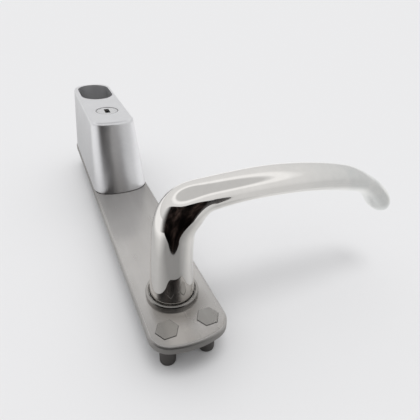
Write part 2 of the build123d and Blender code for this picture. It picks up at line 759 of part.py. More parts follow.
# Crank disc: sits on the plug's square tail, its pin reaches down into the slide
with BuildPart() as crank_disc:
    with BuildSketch(Plane.XY.offset(disc_bottom)):
        with Locations((0, cylinder_place)):
            Circle(disc_diameter / 2)
            Rectangle(tail_square + 2 * press_gap, tail_square + 2 * press_gap, mode=Mode.SUBTRACT)
    extrude(amount=disc_thickness)
    with BuildSketch(Plane.XY.offset(disc_bottom)):
        with Locations((pin_nearest, yoke_place)):
            Circle(crank_pin / 2)
    extrude(amount=-(disc_bottom - slide_bottom - loose_gap))
crank_disc.part.label = "crank_disc"
export_step(crank_disc.part, "parts/crank_disc.step")

# Crank screw: holds the disc on the plug's tail
crank_screw = headed_screws(
    [(0, cylinder_place)],
    disc_bottom,
    1,
    crank_screw_diameter,
    crank_screw_length,
    crank_screw_head,
    crank_screw_head_height,
    crank_screw_diameter,
)
crank_screw.label = "crank_screw"
export_step(crank_screw, "parts/crank_screw.step")

# Locking slide: yoke with a round tail round the crank pin, narrower blade that enters the well
with BuildPart() as locking_slide:
    with BuildSketch(Plane.XY.offset(slide_bottom)):
        with Locations((0, tail_middle)):
            Circle(slide_yoke / 2)
        with Locations((0, (tail_middle + yoke_far) / 2)):
            Rectangle(slide_yoke, yoke_far - tail_middle)
        with Locations((0, (yoke_place + slide_nose) / 2)):
            Rectangle(slide_blade, slide_nose - yoke_place)
        with Locations(((pin_nearest + crank_radius) / 2, yoke_place)):
            SlotOverall(crank_radius - pin_nearest + yoke_slot, yoke_slot, mode=Mode.SUBTRACT)
    extrude(amount=slide_thickness)
    chamfer(locking_slide.edges().filter_by(Axis.Z).group_by(Axis.Y)[-1], slide_nose_edge)
locking_slide.part.label = "locking_slide"
export_step(locking_slide.part, "parts/locking_slide.step")

# Slide guide: folded strap over the blade, screwed to the plate
guide_inner = slide_top + slide_gap - plate_top
with BuildPart() as slide_guide:
    with BuildSketch(Plane.XZ.offset(-guide_far)):
        with Locations((0, plate_top + (guide_inner + guide_sheet) / 2)):
            Rectangle(2 * (guide_half_width + guide_sheet), guide_inner + guide_sheet)
        with Locations((0, plate_top + guide_sheet / 2)):
            Rectangle(2 * (guide_half_width + guide_sheet + guide_foot), guide_sheet)
        with Locations((0, plate_top + guide_inner / 2)):
            Rectangle(2 * guide_half_width, guide_inner, mode=Mode.SUBTRACT)
    extrude(amount=guide_length)
    with BuildSketch(Plane.XY.offset(plate_top)):
        with Locations(guide_screw_places):
            Circle(guide_screw_diameter / 2 + press_gap)
    extrude(amount=guide_sheet, mode=Mode.SUBTRACT)
slide_guide.part.label = "slide_guide"
export_step(slide_guide.part, "parts/slide_guide.step")

# Guide screws: pan heads down through the strap into the plate
guide_screws = headed_screws(
    guide_screw_places,
    plate_top + guide_sheet,
    -1,
    guide_screw_diameter,
    plate_thickness + guide_sheet,
    guide_screw_head,
    guide_screw_head_height,
    guide_screw_diameter,
)
guide_screws.label = "guide_screws"
export_step(guide_screws, "parts/guide_screws.step")
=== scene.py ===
import bpy
import numpy as np
from mathutils import Matrix, Vector


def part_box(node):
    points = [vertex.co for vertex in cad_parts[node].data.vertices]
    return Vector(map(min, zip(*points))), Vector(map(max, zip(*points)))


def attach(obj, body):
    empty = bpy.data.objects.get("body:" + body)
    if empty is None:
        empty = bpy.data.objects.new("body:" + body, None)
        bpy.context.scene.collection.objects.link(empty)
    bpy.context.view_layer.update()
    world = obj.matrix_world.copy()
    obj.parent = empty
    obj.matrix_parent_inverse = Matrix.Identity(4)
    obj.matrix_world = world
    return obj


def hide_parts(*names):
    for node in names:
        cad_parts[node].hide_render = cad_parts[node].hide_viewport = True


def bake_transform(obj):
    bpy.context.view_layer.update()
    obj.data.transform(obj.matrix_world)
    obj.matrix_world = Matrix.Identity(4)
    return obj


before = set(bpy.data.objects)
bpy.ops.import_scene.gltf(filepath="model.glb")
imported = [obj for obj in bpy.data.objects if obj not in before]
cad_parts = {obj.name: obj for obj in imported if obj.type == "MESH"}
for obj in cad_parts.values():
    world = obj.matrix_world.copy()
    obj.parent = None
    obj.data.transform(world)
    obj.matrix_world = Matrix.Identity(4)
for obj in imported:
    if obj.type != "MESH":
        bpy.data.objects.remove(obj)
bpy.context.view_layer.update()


# Back plate
# A strip of stainless steel, stamped to a bowed outline and brushed along its length.
# It lies on the door's face and carries every other piece.
def feed(tree, slot, value):
    """Links a socket into a slot, or sets the slot's own value. A colour is given without alpha."""
    if isinstance(value, bpy.types.NodeSocket):
        tree.links.new(value, slot)
    elif slot.type == "RGBA":
        slot.default_value = (*value, 1.0)
    else:
        slot.default_value = value


def feed_by_name(tree, node, **inputs):
    """Feeds a node's inputs by their names, written with underscores for spaces."""
    for name, value in inputs.items():
        feed(tree, node.inputs[name.replace("_", " ")], value)


def add_node(tree, kind, group=None, **inputs):
    """Adds one shader node, to the right of those before it, and feeds its inputs.
    A group node places the given group."""
    node = tree.nodes.new(kind)
    node_spacing = 200
    node.location = (node_spacing * len(tree.nodes), 0)
    if group is not None:
        node.node_tree = group
    feed_by_name(tree, node, **inputs)
    return node


def add_math(tree, operation, *inputs, kind="ShaderNodeMath"):
    """Adds a node that does one sum. Each input is a plain value or the socket that feeds it."""
    node = add_node(tree, kind)
    node.operation = operation
    for slot, value in zip(node.inputs, inputs):
        feed(tree, slot, value)
    return next(socket for socket in node.outputs if socket.enabled)


def map_share(tree, value, start, end, low=0.0, high=1.0, interpolation="LINEAR"):
    """Adds a map of a value: low up to the start, high from the end on, and even or eased between."""
    node = add_node(tree, "ShaderNodeMapRange", Value=value)
    node.interpolation_type = interpolation
    feed_by_name(tree, node, From_Min=start, From_Max=end, To_Min=low, To_Max=high)
    return node.outputs["Result"]


def mix_colours(tree, share, first, second, blend="MIX"):
    """Adds a mix of two colours: the first where the share is nought, the second where it is one."""
    node = add_node(tree, "ShaderNodeMix")
    node.data_type = "RGBA"
    node.blend_type = blend
    feed_by_name(tree, node, Factor=share, A=first, B=second)
    return node.outputs["Result"]


def add_ramp(tree, value, stops):
    """Adds a ramp of greys through (place, brightness) stops."""
    ramp = add_node(tree, "ShaderNodeValToRGB", Fac=value)
    elements = ramp.color_ramp.elements
    while len(elements) < len(stops):
        elements.new(0.5)
    for element, (place, brightness) in zip(elements, stops):
        element.position = place
        element.color = (brightness, brightness, brightness, 1)
    return ramp.outputs["Color"]


def place_parts(tree):
    """The X, Y and Z of a point on the surface, in metres in the object's own frame."""
    place = add_node(tree, "ShaderNodeTexCoord").outputs["Object"]
    return add_node(tree, "ShaderNodeSeparateXYZ", Vector=place).outputs


def new_group(name, inputs, outputs):
    """An empty shader node group with float inputs (name: default) and named float outputs.
    Comes with the sockets of what it is given."""
    group = bpy.data.node_groups.new(name, "ShaderNodeTree")
    for label, value in inputs.items():
        socket = group.interface.new_socket(label, in_out="INPUT", socket_type="NodeSocketFloat")
        socket.default_value = value
    for label in outputs:
        group.interface.new_socket(label, in_out="OUTPUT", socket_type="NodeSocketFloat")
    return group, add_node(group, "NodeGroupInput").outputs


def make_brushing():
    """Brush marks: noise drawn out along Y, in two finenesses, as a height and as a mask."""
    group, given = new_group("brush marks", {"Fineness": 900.0, "Drawn Out": 0.03}, ["Height", "Mask"])
    coarse_share = 0.22
    place = add_node(group, "ShaderNodeTexCoord").outputs["Object"]
    stretch = add_node(group, "ShaderNodeCombineXYZ", X=1.0, Y=given["Drawn Out"], Z=1.0).outputs["Vector"]
    drawn = add_math(group, "MULTIPLY", place, stretch, kind="ShaderNodeVectorMath")
    fineness = given["Fineness"]
    coarseness = add_math(group, "MULTIPLY", fineness, coarse_share)
    noise = "ShaderNodeTexNoise"
    fine = add_node(group, noise, Vector=drawn, Scale=fineness, Detail=3.0, Roughness=0.6)
    coarse = add_node(group, noise, Vector=drawn, Scale=coarseness, Detail=2.0, Roughness=0.5)
    both = add_math(group, "ADD", fine.outputs["Fac"], coarse.outputs["Fac"])
    height = add_math(group, "MULTIPLY", both, 0.5)
    mask = map_share(group, height, start=0.35, end=0.65)
    add_node(group, "NodeGroupOutput", Height=height, Mask=mask)
    return group


def make_clouding():
    """Clouding: large soft noise over the surface, as left by handling, between nought and one."""
    group, given = new_group("handling clouds", {"Size": 45.0}, ["Mask"])
    place = add_node(group, "ShaderNodeTexCoord").outputs["Object"]
    size = given["Size"]
    noise = add_node(group, "ShaderNodeTexNoise", Vector=place, Scale=size, Detail=3.0, Roughness=0.55)
    mask = map_share(group, noise.outputs["Fac"], start=0.3, end=0.7)
    add_node(group, "NodeGroupOutput", Mask=mask)
    return group


def make_seam():
    """Round seam: one where the distance from an upright axis at a place on Y equals the radius,
    falling evenly to nought over the width to either side."""
    group, given = new_group("round seam", {"Place": 0.0, "Radius": 0.01, "Width": 0.001}, ["Mask"])
    parts = place_parts(group)
    along = add_math(group, "SUBTRACT", parts["Y"], given["Place"])
    level = add_node(group, "ShaderNodeCombineXYZ", X=parts["X"], Y=along).outputs["Vector"]
    away = add_math(group, "LENGTH", level, kind="ShaderNodeVectorMath")
    off = add_math(group, "ABSOLUTE", add_math(group, "SUBTRACT", away, given["Radius"]))
    mask = map_share(group, off, start=0.0, end=given["Width"], low=1.0, high=0.0)
    add_node(group, "NodeGroupOutput", Mask=mask)
    return group


def make_edges():
    """Edges: nought where the surface lies level, and one where it turns away from that."""
    group, given = new_group("turned edges", {"Level": 0.99, "Turned": 0.9}, ["Mask"])
    normal = add_node(group, "ShaderNodeTexCoord").outputs["Normal"]
    upright = add_node(group, "ShaderNodeSeparateXYZ", Vector=normal).outputs["Z"]
    add_node(group, "NodeGroupOutput", Mask=map_share(group, upright, given["Level"], given["Turned"]))
    return group


def make_along():
    """Place along: on each axis, how far a point lies from a start to an end, nought to one."""
    group, given = new_group("place along", {"Start": 0.0, "End": 1.0}, "XYZ")
    parts = place_parts(group)
    shares = {axis: map_share(group, parts[axis], given["Start"], given["End"]) for axis in "XYZ"}
    add_node(group, "NodeGroupOutput", **shares)
    return group


brushing = make_brushing()
clouding = make_clouding()
round_seam = make_seam()
turned_edges = make_edges()
place_along = make_along()


def new_material(name):
    """A new material with a shader, and its node tree."""
    material = bpy.data.materials.new(name)
    material.use_nodes = True
    return material, material.node_tree


def set_shader(material, **inputs):
    """Feeds the inputs of a material's shader."""
    feed_by_name(material.node_tree, material.node_tree.nodes["Principled BSDF"], **inputs)


def fed_by(material, name):
    """The socket that feeds a named input of a material's shader."""
    return material.node_tree.nodes["Principled BSDF"].inputs[name].links[0].from_socket


def metal_finish(
    name, dark, light, smooth, rough, fineness=900.0, drawn_out=0.03, depth=0.00002, size=45.0,
):
    """A metal whose colour runs from dark to light with the brush marks, and whose roughness
    runs from smooth to rough with the handling clouds. The brush marks also raise the surface."""
    material, tree = new_material(name)
    marks = add_node(tree, "ShaderNodeGroup", brushing, Fineness=fineness, Drawn_Out=drawn_out).outputs
    clouds = add_node(tree, "ShaderNodeGroup", clouding, Size=size).outputs["Mask"]
    bump = add_node(tree, "ShaderNodeBump", Distance=depth, Height=marks["Height"])
    set_shader(
        material,
        Metallic=1.0,
        Base_Color=mix_colours(tree, marks["Mask"], dark, light),
        Roughness=map_share(tree, clouds, start=0.0, end=1.0, low=smooth, high=rough),
        Normal=bump.outputs["Normal"],
    )
    return material


def dress(names, material):
    """Gives carried-over nodes one material in place of their own."""
    for name in names:
        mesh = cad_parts[name].data
        mesh.materials.clear()
        mesh.materials.append(material)


def shade_along(material, start, end, shares):
    """Paints shade along Y: a finish's colour is multiplied by shares, given as (place, share) pairs
    whose places run from nought at the start to one at the end."""
    tree = material.node_tree
    along = add_node(tree, "ShaderNodeGroup", place_along, Start=start, End=end).outputs["Y"]
    painted_shade = add_ramp(tree, along, shares)
    finish = fed_by(material, "Base Color")
    set_shader(material, Base_Color=mix_colours(tree, 1.0, finish, painted_shade, "MULTIPLY"))


def lay_over(material, mask, colour):
    """Lays a colour over a finish, as much as the mask says."""
    finish = fed_by(material, "Base Color")
    set_shader(material, Base_Color=mix_colours(material.node_tree, mask, finish, colour))


def lay_dark_ring(material, place, radius, width, colour):
    """Lays a dark colour over a finish in a round seam: painted shade on the plate,
    and a dark ring round the cylinder's rim.
    """
    tree = material.node_tree
    seam = add_node(tree, "ShaderNodeGroup", round_seam, Place=place, Radius=radius, Width=width)
    lay_over(material, seam.outputs["Mask"], colour)


def edge_mask(material):
    """The mask of a material's edges."""
    return add_node(material.node_tree, "ShaderNodeGroup", turned_edges).outputs["Mask"]


def roughen_edges(material, rough):
    """Raises a finish's roughness to the rough amount on its edges."""
    tree = material.node_tree
    rougher = add_math(tree, "MULTIPLY", edge_mask(material), rough)
    set_shader(material, Roughness=add_math(tree, "MAXIMUM", rougher, fed_by(material, "Roughness")))


fine_marks = 0.000004
edge_roughness = 0.5
plate_shade_shares = [(0.0, 0.92), (0.2, 0.9), (0.4, 1.0), (0.75, 0.95), (1.0, 0.70)]
brushed_plate = metal_finish(
    "brushed plate", dark=(0.515, 0.50, 0.485), light=(0.55, 0.535, 0.52),
    smooth=0.18, rough=0.30, depth=fine_marks,
)
# Painted shade on the plate: a little darker at its near end and much darker towards the housing, standing
# in for the reflections of the neck and the housing's front.
shade_along(brushed_plate, start=-0.032, end=0.097, shares=plate_shade_shares)
# Painted shade in a ring round the front of the collar, standing in for the neck's reflection and shadow
# in the plate.
lay_dark_ring(brushed_plate, place=-0.008, radius=0.008, width=0.007, colour=(0.30, 0.285, 0.27))
roughen_edges(brushed_plate, edge_roughness)
dress(["back_plate"], brushed_plate)

# Fixing pillars
# Turned steel pillars with tapped free ends. Their hex heads are let into the plate and stand
# a little proud of it. Screws from the other side of the door pull on them.
pillar_steel = metal_finish(
    "pillar steel", dark=(0.33, 0.32, 0.308), light=(0.37, 0.36, 0.345),
    smooth=0.20, rough=0.33, depth=fine_marks,
)


def shade_below(material, low, high, colour):
    """Lays painted shade over a metal below a level: none above the high one, full below the low one."""
    share = add_node(material.node_tree, "ShaderNodeGroup", place_along, Start=high, End=low)
    lay_over(material, share.outputs["Z"], colour)


# Painted shade on the pillars' edges: the sides and chamfers of the hex heads are darker.
lay_over(pillar_steel, edge_mask(pillar_steel), (0.16, 0.155, 0.15))
# Painted shade on the posts under the plate: darker below the heads.
shade_below(pillar_steel, low=-0.001, high=0.003, colour=(0.20, 0.19, 0.185))
roughen_edges(pillar_steel, edge_roughness)
dress(["fixing_pillars"], pillar_steel)

# Neck collar and bush
# The collar is a polished steel ring pressed into the plate round the foot of the neck.
# The bush inside it is a moulded bearing that the neck turns on.
collar_polish = metal_finish(
    "collar polish", dark=(0.40, 0.385, 0.37), light=(0.45, 0.435, 0.415),
    smooth=0.18, rough=0.26, depth=fine_marks,
)
# Painted reflection on the collar: darker at its front, where it faces the dark screen, and lighter
# towards the back.
shade_along(collar_polish, start=-0.0125, end=0.0055, shares=[(0.0, 0.6), (0.4, 0.85), (1.0, 1.0)])
dress(["neck_collar"], collar_polish)


def moulded_finish(name, dark, light, rough):
    """A moulded plastic: two close colours in soft clouds and a faint grain in the surface."""
    grain_size, grain_depth = 400.0, 0.00001
    material, tree = new_material(name)
    clouds = add_node(tree, "ShaderNodeGroup", clouding, Size=grain_size).outputs["Mask"]
    bump = add_node(tree, "ShaderNodeBump", Distance=grain_depth, Height=clouds)
    set_shader(
        material,
        Base_Color=mix_colours(tree, clouds, dark, light),
        Roughness=rough,
        Normal=bump.outputs["Normal"],
    )
    return material


acetal = moulded_finish("bush acetal", dark=(0.72, 0.72, 0.70), light=(0.80, 0.80, 0.78), rough=0.45)
dress(["neck_bush", "slip_washer"], acetal)

# Lever handle
# One stainless casting, polished to a mirror: a straight round neck that waists in,
# bends over into a flat oval grip and curls down to a rounded, slightly swollen tip.
mm = 0.001
neck_foot_level = 5.15
neck_foot_radius = 10.7
lever_rows = 420
lever_around = 128


def smooth_through(distance, places, values):
    """Cubic curve through (place, value) stations: each slope is the rise between the two
    neighbouring stations, and the curve between stations is the cubic with those end slopes."""
    slopes = np.empty(len(places))
    slopes[1:-1] = (values[2:] - values[:-2]) / (places[2:] - places[:-2])
    slopes[[0, -1]] = (values[[1, -1]] - values[[0, -2]]) / (places[[1, -1]] - places[[0, -2]])
    before = np.clip(np.searchsorted(places, distance, "right") - 1, 0, len(places) - 2)
    after = before + 1
    span = places[after] - places[before]
    t = (distance - places[before]) / span
    rise = values[before] + (values[after] - values[before]) * (3 - 2 * t) * t**2
    return rise + t * (1 - t) ** 2 * span * slopes[before] - t**2 * (1 - t) * span * slopes[after]


def add_mesh(name, places, faces):
    """A new object from places in millimetres and the faces between them."""
    mesh = bpy.data.meshes.new(name)
    mesh.from_pydata((places * mm).tolist(), [], faces)
    piece = bpy.data.objects.new(name, mesh)
    bpy.context.scene.collection.objects.link(piece)
    return piece


def ring_mesh(name, grid):
    """A closed surface from a grid of rings in millimetres. Neighbouring rings are joined by quads,
    each ring closes on itself, and the first and last rows, which are drawn together to a point,
    become fans of triangles round one vertex."""
    rings = grid[1:-1]
    rows, around = rings.shape[:2]
    index = np.arange(rows * around).reshape(rows, around)
    turned = np.roll(index, -1, axis=1)
    quads = np.stack([index[:-1], turned[:-1], turned[1:], index[1:]], axis=-1).reshape(-1, 4)
    start, end = np.full(around, rows * around), np.full(around, rows * around + 1)
    start_fan = np.stack([start, turned[0], index[0]], axis=-1)
    end_fan = np.stack([index[-1], turned[-1], end], axis=-1)
    places = np.concatenate([rings.reshape(-1, 3), grid[[0, -1], 0]])
    piece = add_mesh(name, places, quads.tolist() + start_fan.tolist() + end_fan.tolist())
    mesh = piece.data
    mesh.polygons.foreach_set("use_smooth", np.ones(len(mesh.polygons), bool))
    sharp_edge = np.radians(35)
    mesh.set_sharp_from_angle(angle=sharp_edge)
    mesh.validate()
    return piece


def lever_rings(rows, around):
    """Oval rings carried along the lever's path. The path's heading falls from upright by each
    run's turn, evenly along the run, and its place is the running sum of that heading. A ring is
    a half width along Y times the cosine and a half thickness across the path times the sine.
    Over the rounded end both halves shrink as the quarter of a circle."""
    neck_length, grip_length, nose_length = 13.75, 75.1, 10.7
    lean, bend, curl, hook = np.radians([6.1, 78.3, 15.6, 19.9])
    lean_radius, bend_radius, grip_radius, curl_radius, hook_radius = 192.0, 17.2, 209.0, 63.0, 45.0
    turns = np.array([0, lean, bend, grip_length / grip_radius, curl, hook, 0])
    lengths = np.array([
        neck_length, lean_radius * lean, bend_radius * bend, grip_length,
        curl_radius * curl, hook_radius * hook, nose_length,
    ])
    ends = np.concatenate([[0], np.cumsum(lengths)])
    heading_falls = np.concatenate([[0], np.cumsum(turns)])
    at_bend, at_grip, at_curl, at_hook, at_nose = ends[2:7]
    stations = np.array([
        0, at_bend / 2, at_bend, (at_bend + at_grip) / 2, at_grip,
        (at_grip + at_curl) / 2, at_curl, at_hook, at_nose,
    ])
    half_widths = np.array([neck_foot_radius, 9.6, 9.25, 9.7, 8.85, 9.5, 8.1, 6.75, 7.9])
    half_thicknesses = np.array([neck_foot_radius, 9.6, 9.25, 9.7, 6.45, 5.95, 6.1, 5.05, 5.85])
    path_steps = 20000
    fine = np.linspace(0, ends[-1], path_steps + 1)
    fine_heading = np.pi / 2 - np.interp(fine, ends, heading_falls)
    step = fine[1]
    path_x = np.cumsum(np.cos(fine_heading)) * step
    path_z = neck_foot_level + np.cumsum(np.sin(fine_heading)) * step - step
    nose_rows = around // 8
    quarter = np.sin(np.linspace(0, np.pi / 2, nose_rows))
    run = np.concatenate([np.linspace(0, at_nose, rows), at_nose + nose_length * quarter[1:]])
    place = np.minimum(run, at_nose)
    shrink = np.sqrt(np.maximum(1 - (np.maximum(run - at_nose, 0) / nose_length) ** 2, 0))
    width = smooth_through(place, stations, half_widths) * shrink
    thickness = smooth_through(place, stations, half_thicknesses) * shrink
    heading = np.interp(run, fine, fine_heading)
    turn = np.linspace(0, 2 * np.pi, around, endpoint=False)
    middle_x = np.interp(run, fine, path_x)[:, None]
    middle_z = np.interp(run, fine, path_z)[:, None]
    grid = np.empty((len(run), around, 3))
    grid[..., 0] = middle_x - np.outer(np.sin(heading) * thickness, np.sin(turn))
    grid[..., 1] = np.outer(width, np.cos(turn))
    grid[..., 2] = middle_z + np.outer(np.cos(heading) * thickness, np.sin(turn))
    return grid


def lever_bore(around):
    """The round bore under the neck as rings, from the middle of its roof out to the foot's edge.
    A ring is its radius times the sine along X and times the cosine along Y."""
    bore_radius = 7.02
    bore_roof = 29.17
    foot_edge = 0.6
    radius = np.array([0, bore_radius, bore_radius, neck_foot_radius - foot_edge])
    level = np.array([bore_roof, bore_roof, neck_foot_level, neck_foot_level])
    turn = np.linspace(0, 2 * np.pi, around, endpoint=False)
    rings = np.empty((len(radius), around, 3))
    rings[..., 0] = -np.outer(radius, np.sin(turn))
    rings[..., 1] = np.outer(radius, np.cos(turn))
    rings[..., 2] = level[:, None]
    return rings


lever_grid = np.concatenate([lever_bore(lever_around), lever_rings(lever_rows, lever_around)[1:]])
lever = ring_mesh("lever_polished", lever_grid)
lever_polish = metal_finish(
    "lever polish", dark=(0.82, 0.80, 0.775), light=(0.86, 0.84, 0.815), smooth=0.03, rough=0.07,
    fineness=300.0, drawn_out=1.0, depth=0.0, size=60.0,
)


def wear_and_shade_towards_tip(material, start, end, shaded_colour, rough):
    """Wears a polish down along X: from none at the start to full at the end the colour goes over to a
    cooler, darker one, a painted reflection, and the clouded roughness rises by the rough amount."""
    patch_size, least_worn = 110.0, 0.55
    tree = material.node_tree
    along = add_node(tree, "ShaderNodeGroup", place_along, Start=start, End=end).outputs["X"]
    patches = add_node(tree, "ShaderNodeGroup", clouding, Size=patch_size).outputs["Mask"]
    eased = map_share(tree, along, start=0.0, end=1.0, interpolation="SMOOTHSTEP")
    patchy = map_share(tree, patches, start=0.0, end=1.0, low=least_worn)
    worn_and_shaded = add_math(tree, "MULTIPLY", eased, patchy)
    set_shader(
        material,
        Base_Color=mix_colours(tree, worn_and_shaded, fed_by(material, "Base Color"), shaded_colour),
        Roughness=add_math(tree, "MULTIPLY_ADD", worn_and_shaded, rough, fed_by(material, "Roughness")),
    )


# Painted reflection towards the tip: the colour goes darker and cooler in patches. The rise in roughness
# there is wear.
wear_and_shade_towards_tip(lever_polish, start=0.035, end=0.115, shaded_colour=(0.64, 0.655, 0.65), rough=0.22)
lever.data.materials.append(lever_polish)
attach(lever, "lever")
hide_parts("lever_handle")

# Drive insert, stop washer and retaining ring
# Turned and stamped steel pieces on the lever's journal, behind the plate.
# They carry the lever's turn to the spindle and hold the lever in.
plain_steel = metal_finish(
    "plain steel", dark=(0.42, 0.42, 0.42), light=(0.52, 0.52, 0.52),
    smooth=0.28, rough=0.40, drawn_out=0.5,
)
dress(["drive_insert", "stop_washer"], plain_steel)
spring_steel = metal_finish(
    "spring steel", dark=(0.15, 0.15, 0.16), light=(0.24, 0.24, 0.26),
    smooth=0.25, rough=0.38, drawn_out=0.6,
)
dress(["retaining_ring"], spring_steel)

# Return spring
# A torsion coil of round spring wire in the cup. Its foot leg stays in the cup's wall,
# and its top leg stands in the stop washer's ear and turns with the lever.
wire_radius = 0.65
coil_foot, coil_top = -6.475, -2.85
top_leg_end = -0.3
wire_around = 14


def spring_rings(foot, top, leg_end, around):
    """Rings of a round wire carried along a bent path: a leg in along X, an arc into the coil,
    a helix round Z, an arc upwards and a leg up along Z. A ring is the wire's radius times the
    cosine along the inward normal, and times the sine along the normal across that."""
    coil, coil_turns, corner = 11.6, 2.5, 1.0
    leg_tip = 17.8
    leg_points, corner_points, coil_points, top_points = 8, 9, 241, 5
    start = np.arcsin(corner / (coil + corner))
    end = 2 * np.pi * coil_turns - np.arctan(corner / coil)
    leg_x = np.linspace(leg_tip, (coil + corner) * np.cos(start), leg_points)
    bent = np.linspace(0, np.pi / 2 - start, corner_points)[1:]
    turn = np.linspace(start, end, coil_points)[1:]
    raised = np.linspace(0, np.pi / 2, corner_points)[1:]
    standing = np.linspace(corner, leg_end - top, top_points)[1:]
    ahead = np.array([-np.sin(end), np.cos(end), 0])
    outward = np.array([np.cos(end), np.sin(end), 0])
    up = np.array([0, 0, 1.0])
    bent_x = leg_x[-1] - corner * np.sin(bent)
    bent_y = corner - corner * np.cos(bent)
    climb = foot + (top - foot) * (turn - start) / (end - start)
    leave = coil * outward + top * up
    path = np.concatenate([
        np.stack([leg_x, 0 * leg_x, 0 * leg_x + foot], axis=-1),
        np.stack([bent_x, bent_y, 0 * bent + foot], axis=-1),
        np.stack([coil * np.cos(turn), coil * np.sin(turn), climb], axis=-1),
        leave + corner * (np.outer(np.sin(raised), ahead) + np.outer(1 - np.cos(raised), up)),
        leave + corner * ahead + np.outer(standing, up),
    ])
    tangent = np.gradient(path, axis=0)
    tangent /= np.linalg.norm(tangent, axis=1)[:, None]
    inward = np.cross(up, tangent)
    inward[-len(raised) - len(standing):] = -outward
    inward /= np.linalg.norm(inward, axis=1)[:, None]
    across = np.cross(tangent, inward)
    angle = np.linspace(0, 2 * np.pi, around, endpoint=False)
    reach = np.concatenate([[0.0], np.full(len(path), wire_radius), [0.0]])[:, None, None]
    rows = np.concatenate([[0], np.arange(len(path)), [len(path) - 1]])
    ring = inward[rows, None] * np.cos(angle)[:, None] + across[rows, None] * np.sin(angle)[:, None]
    return path[rows, None] + reach * ring


return_coil = ring_mesh("return_coil", spring_rings(coil_foot, coil_top, top_leg_end, wire_around))
return_coil.data.materials.append(spring_steel)
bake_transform(return_coil)
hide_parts("return_spring")

# Spring cup and its screws
# A pressed steel cup that holds the return spring against the plate's back.
# Two pan-head screws hold it.
cup_black = metal_finish(
    "cup phosphate", dark=(0.10, 0.10, 0.11), light=(0.16, 0.16, 0.17),
    smooth=0.40, rough=0.55, drawn_out=0.8,
)
dress(["spring_cup"], cup_black)
screw_zinc = metal_finish(
    "screw zinc", dark=(0.50, 0.50, 0.50), light=(0.60, 0.60, 0.58),
    smooth=0.25, rough=0.36, drawn_out=0.7,
)
dress(["cup_screws", "housing_screws", "guide_screws", "crank_screw"], screw_zinc)

# Guard housing
# A tapered casting, satin plated, open right through at its oval well.
# Four screws from under the plate hold it.
housing_satin = metal_finish(
    "housing satin", dark=(0.77, 0.77, 0.785), light=(0.81, 0.81, 0.825), smooth=0.31, rough=0.35,
    fineness=400.0, drawn_out=1.0, depth=0.0,
)


def bare_within(material, middle, half, colour, rough):
    """Changes a finish inside a box, given by its middle and half sizes, to a bare cast one.
    A place is inside where the largest of its distances past the box's sides is below nought."""
    tree = material.node_tree
    past = add_node(tree, "ShaderNodeTexCoord").outputs["Object"]
    for operation, *value in (("SUBTRACT", middle), ("ABSOLUTE",), ("SUBTRACT", half)):
        past = add_math(tree, operation, past, *value, kind="ShaderNodeVectorMath")
    parts = add_node(tree, "ShaderNodeSeparateXYZ", Vector=past).outputs
    level_past = add_math(tree, "MAXIMUM", parts["X"], parts["Y"])
    inside = add_math(tree, "LESS_THAN", add_math(tree, "MAXIMUM", level_past, parts["Z"]), 0.0)
    bare_rough = add_node(tree, "ShaderNodeMix", Factor=inside, A=fed_by(material, "Roughness"), B=rough)
    set_shader(material, Roughness=bare_rough.outputs["Result"])
    lay_over(material, inside, colour)


well_middle = (0.0, 0.171, 0.024)
well_half = (0.0111, 0.0186, 0.0256)
bare_within(housing_satin, well_middle, well_half, colour=(0.80, 0.80, 0.81), rough=0.40)
dress(["guard_housing"], housing_satin)

# Key cylinder, nut and plug
# A plated brass cylinder clamped in the housing's top by a ring nut.
# The plug in it turns with the key and carries flat brass wafers.
cylinder_plate = metal_finish(
    "cylinder plating", dark=(0.72, 0.72, 0.73), light=(0.78, 0.78, 0.79),
    smooth=0.22, rough=0.28, depth=fine_marks,
)
lay_dark_ring(cylinder_plate, place=0.127, radius=0.0073, width=0.0011, colour=(0.10, 0.10, 0.10))
dress(["lock_cylinder", "cylinder_nut", "key_plug"], cylinder_plate)
wafer_brass = metal_finish(
    "wafer brass", dark=(0.60, 0.46, 0.22), light=(0.72, 0.57, 0.30),
    smooth=0.28, rough=0.38, drawn_out=0.8,
)
dress(["tumblers"], wafer_brass)

# Crank, slide and guide
# Steel pieces on the plate, under the housing: the crank on the plug's tail pushes the slide
# along its folded guide into the well.
dress(["crank_disc", "locking_slide", "slide_guide"], plain_steel)


# Floor
# A wide sheet of pale paper that the fitting lies on, on the ends of its pillars. It ends close in
# front of the fitting. In the metal's reflections it carries painted shade near its front and
# middle and painted light to either side.
def grid_mesh(name, grid):
    """An open surface from a grid of places in millimetres, whose neighbours are joined by quads."""
    rows, columns = grid.shape[:2]
    index = np.arange(rows * columns).reshape(rows, columns)
    corners = [index[:-1, :-1], index[:-1, 1:], index[1:, 1:], index[1:, :-1]]
    return add_mesh(name, grid.reshape(-1, 3), np.stack(corners, axis=-1).reshape(-1, 4).tolist())


def paper_sheet(level, heading, front, reach):
    """A flat sheet: steps along a heading, from the front edge back, times steps across it."""
    steps = 13
    ahead = np.array([np.sin(heading), np.cos(heading), 0])
    aside = np.array([np.cos(heading), -np.sin(heading), 0])
    along = np.linspace(front, -reach, steps)[:, None, None] * ahead
    across = np.linspace(-reach, reach, steps)[None, :, None] * aside
    return along + across + np.array([0, 0, level])


floor_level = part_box("fixing_pillars")[0].z / mm
floor = grid_mesh("floor", paper_sheet(floor_level, heading=np.radians(188), front=77, reach=6000))
paper, paper_tree = new_material("floor paper")
paper_parts = place_parts(paper_tree)
paper_shade = map_share(paper_tree, paper_parts["Y"], start=-0.050, end=0.0, low=0.28, high=0.54)
